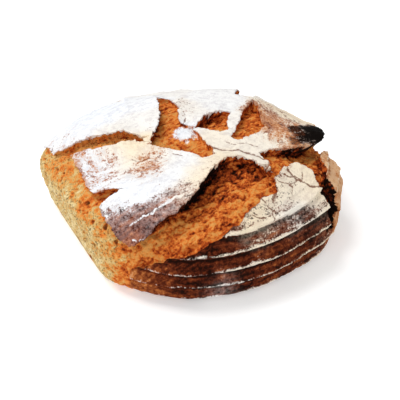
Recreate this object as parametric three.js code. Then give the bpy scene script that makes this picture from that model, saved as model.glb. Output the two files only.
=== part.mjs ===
// Emmer bread loaf: one round, free-standing hearth loaf, modelled as one solid.
//
// The loaf is drawn in two steps. The body is a domed round with a flat underside, whose outline is
// cut straight on the left, where it baked against its neighbour. On top of that body lies the crust
// map: the crust unrolled to a flat disc, with the crown in the middle and the foot at the rim. The
// tears, the lips of the crust beside them, the ridges and the basket rings are drawn on that map in
// millimetres, and the body is raised or sunk along its own normal by what the map says.
//
// Frame: millimetres, +Z up, +X to the right and +Y to the back as seen from the front.
// The origin is the middle of the underside's box.
import * as THREE from "three";

// ---------------------------------------------------------------- the body
const CROWN_HEIGHT = 87; // of the body, before lips and ridges rise over it
const WIDEST_HEIGHT = 32; // the level at which the loaf is widest
const DOME_FULLNESS = 2.6; // 2 is an ellipse, more is flatter on top with fuller shoulders
const FOOT_SHARE = 0.875; // reach of the underside as a share of the widest reach
const FOOT_ROUNDNESS = 2.2;
// How far the loaf reaches from its middle at its widest, every 22.5 degrees from +X towards +Y.
const REACH = [125, 125, 119, 119, 116, 115, 124, 133, 134, 125, 117, 110, 111, 111, 114, 123];
const KISS_BEARING = 208; // degrees: the way the torn-apart side faces
const KISS_REACH = 106; // from the middle to that side, at the widest level
const KISS_LEAN = 0.22; // that side leans outwards by this much for each millimetre of height
const KISS_ROUNDING = 8; // softness of its edges
const REST_RADIUS = 60; // corners of the flat triangle in the middle of the underside
const MIDDLE = { x: -1.46, y: 2.54 }; // the middle of the box, in the body's own axes

// ---------------------------------------------------------------- the crust map
const MAP_RADIUS = 165; // from the crown, along the crust, to the foot
const MAP_RINGS = 42; // rings of vertices from the crown to the foot
const FOOT_FADE = 12; // relief dies out over this width above the foot

// ---------------------------------------------------------------- tears
// Each tear is an outline on the map: [across, along, floor, lip]. Floor is how deep the crumb lies
// below the body at that edge, and lip is how high the crust stands beside it.
const TEARS = {
  frontTear: [
    [25, -30, 7, 4],
    [15, -43, 11, 6],
    [7, -57, 13, 7],
    [-1, -70, 12, 7],
    [-12, -81, 11, 7],
    [-25, -88, 9, 6],
    [-31, -94, 8, 6],
    [-44, -98, 6, 6],
    [-54, -96, 4, 5],
    [-60, -82, 3, 5],
    [-68, -67, 2, 4],
    [-82, -76, 0, 0],
    [-78, -100, 0, 0],
    [-68, -124, 0, 0],
    [-54, -119, 2, 1],
    [-38, -118, 4, 1],
    [-18, -115, 5, 3],
    [2, -111, 4, 3],
    [20, -101, 3, 2],
    [35, -87, 3, 2],
    [44, -74, 3, 3],
    [52, -65, 3, 3],
    [62, -55, 4, 2],
    [61, -46, 5, 2],
    [58, -39, 6, 2],
    [52, -33, 8, 3],
    [43, -28, 9, 4],
    [32, -26, 9, 4],
  ],
  leftTear: [
    [-100, -2, 2, 3],
    [-86, 0, 6, 4],
    [-78, 3, 7, 4],
    [-65, 4, 8, 5],
    [-56, 5, 8, 5],
    [-47, 7, 8, 5],
    [-38, 0, 6, 4],
    [-34, -4, 4, 3],
    [-35, -10, 3, 2],
    [-42, -5, 4, 2],
    [-50, -7, 3, 2],
    [-69, -10, 3, 2],
    [-81, -10, 3, 2],
    [-96, -14, 1, 2],
    [-106, -8, 0, 0],
  ],
  sideNotch: [
    [-53, -54, 3, 3],
    [-65, -51, 5, 3],
    [-79, -50, 3, 3],
    [-92, -50, 0, 0],
    [-86, -68, 0, 0],
    [-69, -64, 2, 4],
    [-60, -59, 3, 3],
  ],
  crownTear: [
    [-31, -7, 6, 5],
    [-29, 2, 7, 6],
    [-25, 8, 8, 6],
    [-25, 18, 8, 7],
    [-26, 29, 7, 6],
    [-28, 43, 6, 5],
    [-31, 60, 4, 4],
    [-20, 59, 3, 2],
    [-13, 50, 3, 2],
    [-10, 38, 3, 2],
    [-9, 16, 4, 2],
    [-1, 12, 4, 2],
    [7, -3, 4, 2],
    [12, -12, 4, 2],
    [17, -20, 3, 2],
    [18, -27, 2, 2],
    [11, -31, 2, 1],
    [-4, -24, 3, 2],
    [-17, -19, 4, 2],
    [-31, -13, 5, 3],
  ],
  backTear: [
    [2, 9, 4, 2],
    [4, 16, 8, 3],
    [8, 24, 8, 4],
    [16, 30, 8, 4],
    [22, 33, 7, 3],
    [29, 33, 5, 2],
    [25, 19, 3, 2],
    [26, 7, 3, 2],
    [20, 3, 3, 2],
    [12, 5, 3, 2],
  ],
  backRightTear: [
    [39, 38, 5, 3],
    [46, 53, 5, 3],
    [51, 49, 4, 2],
    [52, 35, 3, 2],
    [50, 24, 3, 2],
    [53, 15, 3, 2],
    [46, 4, 3, 2],
    [33, -6, 3, 2],
    [27, -2, 3, 2],
    [32, 14, 5, 2],
    [36, 26, 6, 3],
  ],
  rightTear: [
    [47, -19, 3, 2],
    [54, -14, 6, 3],
    [62, -11, 8, 5],
    [71, -8, 9, 7],
    [79, -4, 11, 9],
    [85, 1, 12, 10],
    [88, 8, 12, 10],
    [89, 15, 12, 9],
    [88, 23, 12, 7],
    [90, 33, 12, 5],
    [95, 45, 12, 4],
    [104, 57, 11, 3],
    [118, 62, 9, 2],
    [132, 56, 8, 1],
    [142, 42, 8, 1],
    [144, 24, 9, 1],
    [136, 10, 10, 2],
    [124, 3, 10, 3],
    [113, 1, 9, 3],
    [103, 4, 8, 2],
    [97, 2, 7, 3],
    [94, -5, 5, 3],
    [97, -16, 5, 3],
    [105, -27, 8, 3],
    [121, -36, 8, 3],
    [127, -47, 5, 2],
    [119, -60, 3, 2],
    [106, -52, 7, 3],
    [93, -40, 8, 3],
    [84, -25, 6, 3],
    [73, -22, 3, 2],
    [65, -30, 3, 2],
    [60, -40, 3, 1],
    [55, -31, 3, 2],
  ],
  rearTear: [
    [34, 70, 3, 2],
    [44, 72, 3, 2],
    [52, 90, 5, 3],
    [48, 112, 6, 4],
    [36, 124, 4, 3],
    [33, 106, 3, 2],
    [38, 90, 3, 2],
  ],
  rearLeftTear: [
    [-60, 74, 3, 2],
    [-44, 84, 4, 3],
    [-26, 88, 6, 4],
    [-8, 100, 6, 4],
    [0, 112, 4, 3],
    [-14, 108, 3, 2],
    [-34, 98, 3, 2],
    [-52, 88, 3, 2],
  ],
  kissingSide: [
    [-103, 6, 0, 2],
    [-99, -12, 0, 2],
    [-90, -26, 1, 2],
    [-83, -41, 1, 3],
    [-79, -50, 1, 3],
    [-69, -66, 1, 3],
    [-60, -84, 2, 4],
    [-56, -100, 2, 2],
    [-55, -119, 1, 0],
    [-60, -136, 0, 0],
    [-68, -160, 0, 0],
    [-76, -190, 0, 0],
    [-220, -160, 0, 0],
    [-240, 60, 0, 0],
    [-165, 95, 0, 0],
    [-132, 68, 0, 1],
    [-112, 36, 0, 2],
  ],
};
const LIP_WIDTH = 9; // a lip dies out over about this distance from its tear
const SNAP_DISTANCE = 1.9; // vertices this close to a tear's edge move onto its lip
const OUTLINE_STEP = 4; // spacing of the samples along a tear's outline

// ---------------------------------------------------------------- ridges
// A ridge follows points [across, along, height], with a gentle side and a steep side.
const RIDGES = [
  {
    line: [
      [-70, -64, 2],
      [-57, -70, 4],
      [-40, -72, 5],
      [-20, -65, 5],
      [-4, -54, 4],
      [10, -40, 3],
      [23, -30, 2],
    ],
    gentle: 26,
    steep: 13,
  },
  { line: [[60, 10, 2], [74, 12, 4], [84, 14, 5], [88, 18, 4]], gentle: 14, steep: 10 },
  { line: [[-6, 66, 1], [12, 72, 4], [30, 72, 5], [46, 66, 5]], gentle: 22, steep: 22 },
];
const FLOURED_ISLAND = { across: -5, along: 5, radius: 8, height: 4 };

// ---------------------------------------------------------------- basket rings
const RING_PITCH = 13.4;
const RING_FIRST = 104; // distance of the innermost ring from the crown, on the map
const RING_RISE = 1.1; // how far each ledge stands out
const RING_FADE = 14; // the rings come up over this distance inside the first one

const rad = THREE.MathUtils.degToRad;
const clamp = THREE.MathUtils.clamp;
const lerp = THREE.MathUtils.lerp;

function smoothStep(value, low, high) {
  const t = clamp((value - low) / (high - low), 0, 1);
  return t * t * (3 - 2 * t);
}

function smoothMin(a, b, width) {
  const t = clamp(0.5 + (0.5 * (b - a)) / width, 0, 1);
  return b * (1 - t) + a * t - width * t * (1 - t);
}

// The reach at any bearing, by a closed Catmull-Rom curve through REACH.
function reachAt(bearing) {
  const n = REACH.length;
  const place = ((((bearing / (2 * Math.PI)) % 1) + 1) % 1) * n;
  const i = Math.floor(place);
  const t = place - i;
  const [a, b, c, d] = [-1, 0, 1, 2].map((k) => REACH[(i + k + n) % n]);
  return (
    b +
    0.5 * t * (c - a + t * (2 * a - 5 * b + 4 * c - d + t * (3 * (b - c) + d - a)))
  );
}

// One meridian of the body, from the crown to the foot, as points [radius, height].
function meridian(bearing) {
  const reach = reachAt(bearing);
  const points = [];
  const steps = { dome: 60, foot: 24 };
  for (let i = 0; i <= steps.dome; i++) {
    const angle = (i / steps.dome) * (Math.PI / 2);
    const [s, c] = [Math.sin(angle), Math.cos(angle)];
    const scale = (s ** DOME_FULLNESS + c ** DOME_FULLNESS) ** (-1 / DOME_FULLNESS);
    points.push([reach * s * scale, WIDEST_HEIGHT + (CROWN_HEIGHT - WIDEST_HEIGHT) * c * scale]);
  }
  for (let i = 1; i <= steps.foot; i++) {
    const angle = (i / steps.foot) * (Math.PI / 2);
    const [s, c] = [Math.sin(angle), Math.abs(Math.cos(angle))];
    const scale = (s ** FOOT_ROUNDNESS + c ** FOOT_ROUNDNESS) ** (-1 / FOOT_ROUNDNESS);
    points.push([
      reach * (FOOT_SHARE + (1 - FOOT_SHARE) * c * scale),
      WIDEST_HEIGHT * (1 - s * scale),
    ]);
  }
  const facing = Math.cos(bearing - rad(KISS_BEARING));
  if (facing > 0.05)
    for (const p of points) {
      const wall = KISS_REACH + KISS_LEAN * (p[1] - WIDEST_HEIGHT);
      p[0] = smoothMin(p[0], wall / facing, KISS_ROUNDING);
    }
  return points;
}

// The body's surface at a point of the crust map.
function bodyPoint(across, along) {
  const bearing = Math.atan2(along, across);
  const share = Math.min(Math.hypot(across, along) / MAP_RADIUS, 1);
  const points = meridian(bearing);
  const lengths = [0];
  for (let i = 1; i < points.length; i++)
    lengths.push(
      lengths[i - 1] +
        Math.hypot(points[i][0] - points[i - 1][0], points[i][1] - points[i - 1][1]),
    );
  const wanted = share * lengths[lengths.length - 1];
  let i = 1;
  while (i < lengths.length - 1 && lengths[i] < wanted) i++;
  const t = clamp((wanted - lengths[i - 1]) / (lengths[i] - lengths[i - 1]), 0, 1);
  const radius = lerp(points[i - 1][0], points[i][0], t);
  const height = lerp(points[i - 1][1], points[i][1], t);
  return new THREE.Vector3(radius * Math.cos(bearing), radius * Math.sin(bearing), height);
}

function bodyNormal(across, along) {
  const distance = Math.hypot(across, along);
  const shrink = distance > MAP_RADIUS - 1 ? (MAP_RADIUS - 1) / distance : 1;
  const [u, v, step] = [across * shrink, along * shrink, 1];
  const du = bodyPoint(u + step, v).sub(bodyPoint(u - step, v));
  const dv = bodyPoint(u, v + step).sub(bodyPoint(u, v - step));
  return du.cross(dv).normalize();
}

// A tear's outline as evenly spaced samples [across, along, floor, lip].
function sampleOutline(corners) {
  const samples = [];
  corners.forEach((from, i) => {
    const to = corners[(i + 1) % corners.length];
    const length = Math.hypot(to[0] - from[0], to[1] - from[1]);
    const count = Math.max(1, Math.round(length / OUTLINE_STEP));
    for (let k = 0; k < count; k++) samples.push(from.map((a, j) => lerp(a, to[j], k / count)));
  });
  return samples;
}

const tears = Object.values(TEARS).map((corners) => ({ corners, samples: sampleOutline(corners) }));

// The nearest place on a tear's outline: signed distance (minus inside), lip, and the way to it.
function nearestEdge(corners, across, along) {
  let best = { distance: Infinity };
  let inside = false;
  corners.forEach((a, i) => {
    const b = corners[(i + 1) % corners.length];
    const [dx, dy] = [b[0] - a[0], b[1] - a[1]];
    const t = clamp(((across - a[0]) * dx + (along - a[1]) * dy) / (dx * dx + dy * dy), 0, 1);
    const [ex, ey] = [across - a[0] - t * dx, along - a[1] - t * dy];
    const distance = Math.hypot(ex, ey);
    if (distance < best.distance) best = { distance, ex, ey, lip: lerp(a[3], b[3], t) };
    if (a[1] > along !== b[1] > along && across < a[0] + (dx * (along - a[1])) / dy)
      inside = !inside;
  });
  return { ...best, signed: inside ? -best.distance : best.distance };
}

// How deep the crumb lies inside a tear: the floors at its edges, the near ones weighing most.
function floorInside(samples, across, along) {
  let [sum, weights] = [0, 0];
  for (const [x, y, floor] of samples) {
    const weight = ((x - across) ** 2 + (y - along) ** 2 + 1) ** -1.5;
    sum += weight * floor;
    weights += weight;
  }
  return sum / weights;
}

function ridgeHeight({ line, gentle, steep }, across, along) {
  let best = { distance: Infinity };
  for (let i = 0; i + 1 < line.length; i++) {
    const [a, b] = [line[i], line[i + 1]];
    const [dx, dy] = [b[0] - a[0], b[1] - a[1]];
    const t = clamp(((across - a[0]) * dx + (along - a[1]) * dy) / (dx * dx + dy * dy), 0, 1);
    const [ex, ey] = [across - a[0] - t * dx, along - a[1] - t * dy];
    const distance = Math.hypot(ex, ey);
    if (distance < best.distance)
      best = { distance, height: lerp(a[2], b[2], t), side: dx * ey - dy * ex };
  }
  const width = best.side > 0 ? gentle : steep;
  return best.height * Math.exp(-((best.distance / width) ** 2));
}

function ringHeight(across, along) {
  const distance = Math.hypot(across, along);
  const turn = (distance - RING_FIRST) / RING_PITCH;
  const share = turn - Math.floor(turn);
  const saw = share < 0.75 ? share / 0.75 : (1 - share) / 0.25;
  return RING_RISE * (2 * saw - 1) * smoothStep(distance, RING_FIRST - RING_FADE, RING_FIRST);
}

const nearerEdge = (a, b) => (b.signed < a.signed ? b : a);

function nearestTear(across, along) {
  return tears.map(({ corners }) => nearestEdge(corners, across, along)).reduce(nearerEdge);
}

// How far the surface stands out from the body at a point of the map.
function relief(across, along) {
  const edges = tears.map(({ corners }) => nearestEdge(corners, across, along));
  const near = edges.reduce(nearerEdge);
  let crust = ringHeight(across, along);
  crust += RIDGES.reduce((sum, ridge) => sum + ridgeHeight(ridge, across, along), 0);
  crust += Math.max(...edges.map((e) => e.lip * Math.exp(-e.distance / LIP_WIDTH)));
  const island = Math.hypot(across - FLOURED_ISLAND.across, along - FLOURED_ISLAND.along);
  let [sum, weights] = [0, 0];
  edges.forEach((edge, i) => {
    const weight = smoothStep(-edge.signed, 0, 6) + (edge === near ? 1e-3 : 0);
    sum += weight * floorInside(tears[i].samples, across, along);
    weights += weight;
  });
  const raised = FLOURED_ISLAND.height * Math.exp(-((island / FLOURED_ISLAND.radius) ** 2));
  const crumb = raised - sum / weights;
  const height = near.signed > 0 ? crust : crumb;
  return height * smoothStep(MAP_RADIUS - Math.hypot(across, along), 0, FOOT_FADE);
}

// A vertex near a tear's edge moves onto the lip, so that the lip comes out as one crisp line.
function snapToLip(across, along) {
  const near = nearestTear(across, along);
  const free = MAP_RADIUS - Math.hypot(across, along);
  if (near.distance > SNAP_DISTANCE || near.distance < 1e-6 || free < FOOT_FADE) return [across, along];
  const keep = (Math.sign(near.signed) * (0.05 + 0.1 * near.distance)) / near.distance;
  return [across + near.ex * (keep - 1), along + near.ey * (keep - 1)];
}

// The crust map's lattice: a middle point and rings of 6, 12, 18 ... points.
function latticePoints() {
  const points = [[0, 0]];
  for (let ring = 1; ring <= MAP_RINGS; ring++)
    for (let k = 0; k < 6 * ring; k++) {
      const bearing = (k / (6 * ring)) * 2 * Math.PI;
      const radius = (ring / MAP_RINGS) * MAP_RADIUS;
      points.push([radius * Math.cos(bearing), radius * Math.sin(bearing)]);
    }
  return points;
}

const ringStart = (ring) => (ring === 0 ? 0 : 1 + 3 * ring * (ring - 1));

// Joins two closed loops of points, walking both at the same pace.
function stitch(inner, outer, faces) {
  let [i, o] = [0, 0];
  while (i < inner.length || o < outer.length) {
    const [a, b] = [inner[i % inner.length], outer[o % outer.length]];
    const outerNext = (o + 1) * inner.length <= (i + 1) * outer.length;
    if (i >= inner.length || (outerNext && o < outer.length)) {
      faces.push([a, b, outer[(o + 1) % outer.length]]);
      o++;
    } else {
      faces.push([a, b, inner[(i + 1) % inner.length]]);
      i++;
    }
  }
}

function buildLoaf() {
  const vertices = latticePoints().map(([u, v]) => {
    const [across, along] = snapToLip(u, v);
    const point = bodyPoint(across, along);
    const onFoot = Math.hypot(u, v) > MAP_RADIUS - 1e-6;
    if (!onFoot) point.addScaledVector(bodyNormal(across, along), relief(across, along));
    point.z = onFoot ? 0 : Math.max(point.z, 0.4);
    point.x -= MIDDLE.x;
    point.y -= MIDDLE.y;
    return point;
  });
  const faces = [];
  const loop = (ring) =>
    ring === 0 ? [0] : Array.from({ length: 6 * ring }, (_, k) => ringStart(ring) + k);
  for (let k = 1; k <= 6; k++) faces.push([0, k, (k % 6) + 1]);
  for (let ring = 1; ring < MAP_RINGS; ring++) stitch(loop(ring), loop(ring + 1), faces);

  // The underside: a flat triangle in the middle, joined to the foot by one band.
  const foot = loop(MAP_RINGS);
  const base = vertices.length;
  for (let k = 0; k < 3; k++) {
    const bearing = (k / 3) * 2 * Math.PI;
    vertices.push(
      new THREE.Vector3(REST_RADIUS * Math.cos(bearing), REST_RADIUS * Math.sin(bearing), 0),
    );
  }
  const under = [[base, base + 1, base + 2]];
  stitch(under[0], foot, under);
  for (const [a, b, c] of under) faces.push([a, c, b]);

  const geometry = new THREE.BufferGeometry();
  geometry.setAttribute(
    "position",
    new THREE.Float32BufferAttribute(vertices.flatMap((p) => [p.x, p.y, p.z]), 3),
  );
  geometry.setIndex(faces.flat());
  geometry.computeVertexNormals();
  return geometry;
}

const crust = new THREE.MeshStandardMaterial({ color: 0xb98a63, roughness: 0.9, metalness: 0 });
const loaf = new THREE.Mesh(buildLoaf(), crust);
loaf.name = "loaf";

const bread = new THREE.Group();
bread.add(loaf);
export default bread;
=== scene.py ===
import math

import bpy
import numpy as np
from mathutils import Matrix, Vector


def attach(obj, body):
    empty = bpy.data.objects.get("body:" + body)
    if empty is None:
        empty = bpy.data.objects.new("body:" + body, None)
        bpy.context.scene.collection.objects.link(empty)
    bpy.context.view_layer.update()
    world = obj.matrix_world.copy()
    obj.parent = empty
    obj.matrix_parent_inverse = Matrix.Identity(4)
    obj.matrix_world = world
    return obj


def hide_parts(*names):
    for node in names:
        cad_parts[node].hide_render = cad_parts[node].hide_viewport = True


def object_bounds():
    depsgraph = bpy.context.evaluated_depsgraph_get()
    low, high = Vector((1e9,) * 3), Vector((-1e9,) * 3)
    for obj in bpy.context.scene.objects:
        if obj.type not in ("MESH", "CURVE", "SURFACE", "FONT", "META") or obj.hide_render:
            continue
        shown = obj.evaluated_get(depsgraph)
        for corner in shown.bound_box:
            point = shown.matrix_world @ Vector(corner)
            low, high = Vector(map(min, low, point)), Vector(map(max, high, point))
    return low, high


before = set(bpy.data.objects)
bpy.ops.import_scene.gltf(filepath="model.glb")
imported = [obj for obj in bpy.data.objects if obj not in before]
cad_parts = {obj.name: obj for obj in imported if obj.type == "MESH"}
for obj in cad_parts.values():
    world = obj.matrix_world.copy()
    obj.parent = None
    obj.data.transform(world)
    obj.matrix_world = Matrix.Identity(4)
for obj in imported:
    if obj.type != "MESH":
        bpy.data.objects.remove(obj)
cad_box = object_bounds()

# Emmer bread loaf: a round hearth loaf with a floured, torn crust.
#
# The loaf is drawn as its solid is: a domed body, and on it the crust map, which is the crust unrolled
# to a flat disc with the crown in the middle and the foot at the rim, in millimetres. This file adds
# what the solid leaves out: ragged edges, undercut lips, torn crumb, flour and baking colour.

MM = 0.001

# ---- the body
CROWN_HEIGHT = 87  # without lips and ridges
WIDEST_HEIGHT = 32  # where the loaf is widest
DOME_FULLNESS = 2.6  # 2 is an ellipse, more has fuller shoulders
FOOT_SHARE = 0.875  # reach of the underside, as a share
FOOT_ROUNDNESS = 2.2
# Reach from the middle at the widest level, in equal steps of bearing from +X towards +Y.
REACH = [125, 125, 119, 119, 116, 115, 124, 133, 134, 125, 117, 110, 111, 111, 114, 123]
KISS_BEARING = 208  # degrees: the way the torn-apart side faces
KISS_REACH = 106  # from the middle, at the widest level
KISS_LEAN = 0.22  # outward lean for each millimetre of height
KISS_ROUNDING = 8
MIDDLE = (-1.46, 2.54)  # the middle of the solid's box, in the body's own axes

# ---- the crust map
MAP_RADIUS = 165  # from the crown, along the crust, to the foot
MAP_RINGS = 170  # rings of vertices
FOOT_FADE = 12  # relief dies out over this width above the foot

# Tears: [across, along, floor, lip]: the crumb's depth at that edge, and the height of the crust beside
# it. The side that was torn from its neighbour comes last.
TEARS = {
    "front_tear": [
        [25, -30, 7, 4], [15, -43, 11, 6], [7, -57, 13, 7], [-1, -70, 12, 7], [-12, -81, 11, 7],
        [-25, -88, 9, 6], [-31, -94, 8, 6], [-42, -99, 6, 6], [-49, -98, 4, 5], [-56, -84, 3, 5],
        [-64, -71, 2, 4], [-78, -78, 0, 0], [-76, -100, 0, 0], [-68, -124, 0, 0], [-54, -119, 2, 1],
        [-38, -118, 4, 1], [-18, -115, 5, 3], [2, -111, 4, 3], [20, -101, 3, 2], [35, -87, 3, 2],
        [44, -74, 3, 3], [52, -65, 3, 3], [62, -55, 4, 2], [61, -46, 5, 2], [58, -39, 6, 2],
        [52, -33, 8, 3], [43, -28, 9, 4], [32, -26, 9, 4],
    ],
    "left_tear": [
        [-100, -2, 2, 3], [-86, 0, 4, 4], [-78, 3, 5, 4], [-65, 4, 6, 5], [-56, 5, 6, 5], [-47, 7, 6, 5],
        [-38, 0, 5, 4], [-34, -4, 3, 3], [-35, -10, 3, 2], [-42, -5, 3, 2], [-50, -7, 3, 2],
        [-69, -10, 3, 2], [-81, -10, 3, 2], [-96, -14, 1, 2], [-106, -8, 0, 0],
    ],
    "side_notch": [
        [-46, -58, 3, 3], [-59, -56, 5, 3], [-73, -55, 3, 3], [-86, -56, 0, 0], [-82, -73, 0, 0],
        [-65, -69, 2, 4], [-56, -64, 3, 3],
    ],
    "crown_tear": [
        [-31, -7, 6, 5], [-29, 2, 7, 6], [-25, 8, 8, 6], [-25, 18, 8, 7], [-26, 29, 7, 6], [-28, 43, 6, 5],
        [-31, 60, 4, 4], [-20, 59, 3, 2], [-13, 50, 3, 2], [-10, 38, 3, 2], [-9, 16, 4, 2], [-1, 12, 4, 2],
        [7, -3, 4, 2], [12, -12, 4, 2], [17, -20, 3, 2], [18, -27, 2, 2], [11, -31, 2, 1], [-4, -24, 3, 2],
        [-17, -19, 4, 2], [-31, -13, 5, 3],
    ],
    "back_tear": [
        [2, 9, 4, 2], [4, 16, 8, 3], [8, 24, 8, 4], [16, 30, 8, 4], [22, 33, 7, 3], [29, 33, 5, 2],
        [25, 19, 3, 2], [26, 7, 3, 2], [20, 3, 3, 2], [12, 5, 3, 2],
    ],
    "back_right_tear": [
        [39, 38, 5, 3], [46, 53, 5, 3], [51, 49, 4, 2], [52, 35, 3, 2], [50, 24, 3, 2], [53, 15, 3, 2],
        [46, 4, 3, 2], [33, -6, 3, 2], [27, -2, 3, 2], [32, 14, 5, 2], [36, 26, 6, 3],
    ],
    "right_tear": [
        [47, -19, 3, 2], [54, -14, 6, 3], [62, -11, 8, 5], [71, -8, 9, 7], [79, -4, 11, 9], [85, 1, 12, 10],
        [88, 8, 12, 10], [89, 15, 12, 9], [88, 23, 12, 7], [90, 33, 12, 5], [95, 45, 12, 4],
        [104, 57, 11, 3], [118, 62, 9, 2], [132, 56, 8, 1], [142, 42, 8, 1], [144, 24, 9, 1],
        [136, 10, 10, 2], [124, 3, 10, 3], [113, 1, 9, 3], [103, 4, 8, 2], [97, 2, 7, 3], [94, -5, 5, 3],
        [97, -16, 5, 3], [105, -27, 8, 3], [121, -36, 8, 3], [127, -47, 5, 2], [119, -60, 3, 2],
        [106, -52, 7, 3], [93, -40, 8, 3], [84, -25, 6, 3], [73, -22, 3, 2], [65, -30, 3, 2],
        [60, -40, 3, 1], [55, -31, 3, 2],
    ],
    "rear_tear": [
        [33, 63, 1, 1], [43, 59, 1, 1], [50, 68, 2, 1], [52, 90, 4, 2], [48, 112, 6, 4], [36, 124, 4, 3],
        [33, 106, 3, 2], [38, 90, 3, 2],
    ],
    "rear_left_tear": [
        [-60, 74, 3, 2], [-44, 84, 4, 3], [-26, 88, 6, 4], [-8, 100, 6, 4], [0, 112, 4, 3],
        [-14, 108, 3, 2], [-34, 98, 3, 2], [-52, 88, 3, 2],
    ],
    "kissing_side": [
        [-103, 6, 0, 2], [-98, -9, 0, 2], [-87, -13, 0, 2], [-83, -26, 1, 2], [-78, -41, 1, 3],
        [-73, -55, 1, 3], [-65, -70, 1, 3], [-56, -86, 2, 4], [-51, -101, 2, 2], [-56, -118, 1, 0],
        [-66, -132, 0, 0], [-78, -154, 0, 0], [-90, -190, 0, 0], [-220, -160, 0, 0], [-240, 60, 0, 0],
        [-165, 95, 0, 0], [-132, 68, 0, 1], [-112, 36, 0, 2],
    ],
}
LIP_WIDTH = 9  # a lip dies out over about this distance
OUTLINE_STEP = 4  # spacing of the samples along a tear's outline

# Broad ridges: points with their height, then the widths of the gentle and the steep side.
RIDGES = [
    ([[-70, -64, 2], [-57, -70, 4], [-40, -72, 5], [-20, -65, 5], [-4, -54, 4], [10, -40, 3],
      [23, -30, 2]], 26, 13),
    ([[60, 10, 2], [74, 12, 4], [84, 14, 5], [88, 18, 4]], 14, 10),
    ([[-6, 66, 1], [12, 72, 4], [30, 72, 5], [46, 66, 5]], 22, 22),
]
# The island of crust in the crown tear: across, along, radius, rise.
FLOURED_ISLAND = (-5, 5, 8, 4)

# Rings from the proving basket: ledges that rise outwards and then drop.
RING_PITCH = 13.4
RING_FIRST = 101.3  # from the crown to the innermost ring
RING_RISE = 1.8
RING_CREST = 0.88  # share of the pitch at which a ledge is highest
RING_FADE = 14  # the rings come up over this distance
# The big front plate turned as it rose: it has no rings in this round (across, along, radius).
UNRINGED = (-36, -84, 28)

# Flour lies in streaks along the rings, which count as circles of this radius.
RING_STREAK = 22
# On that plate they run at this bearing, so many times longer than wide, out to so many of its radii.
PLATE_STREAK_BEARING = 22
PLATE_STREAK_STRETCH = 5
PLATE_STREAK_REACH = 2.0

# Vertices nearer to a tear's edge than the first distance crowd into the second, to draw its wall.
# Beyond the third distance none moves, and none moves further than the last.
CROWD_FROM = 1.6
CROWD_INTO = 0.35
CROWD_REACH = 6.5
CROWD_LIMIT = 1.6

SHARP_ANGLE = 62  # degrees: faces that meet more steeply show a crisp edge

# ---- fine relief
# Ragged edges: how far they stray, and the bends' size.
RAGS = [(1.5, 9), (0.9, 3.4), (0.45, 1.9)]
# Swellings and wrinkles of the crust: height, size and seed.
SWELLINGS = (0.7, 26, 41)
WRINKLES = (0.4, 7, 42)
# The crust is thinner right at its edge: drop and width.
THIN_EDGE = (0.4, 0.8)
CRACK_DEPTH = 0.7
FOLD_EDGE = 0.5  # width of a fold's steep side
# A lip leans over its tear, and the crumb runs in under it: share of the lip's height, and width.
OVERHANG = (0.5, 4.5)
UNDERCUT = (0.4, 3.5)
# The crumb was torn along this way, and its strands are this many times longer than wide.
TORN_WAY = (0.80, 0.45, 0.40)
TORN_STRETCH = 2.3
# Sizes of what shows in torn crumb.
LUMP_SIZE = 10
ROPE_SIZE = 6.5
SHRED_SIZE = 4.2
PORE_SIZE = 5.5
CRUMB_RELIEF = 1.3  # how far the crumb stands out in a shallow tear
DEEP_RELIEF = 1.0  # and how much further in a deep one

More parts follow.
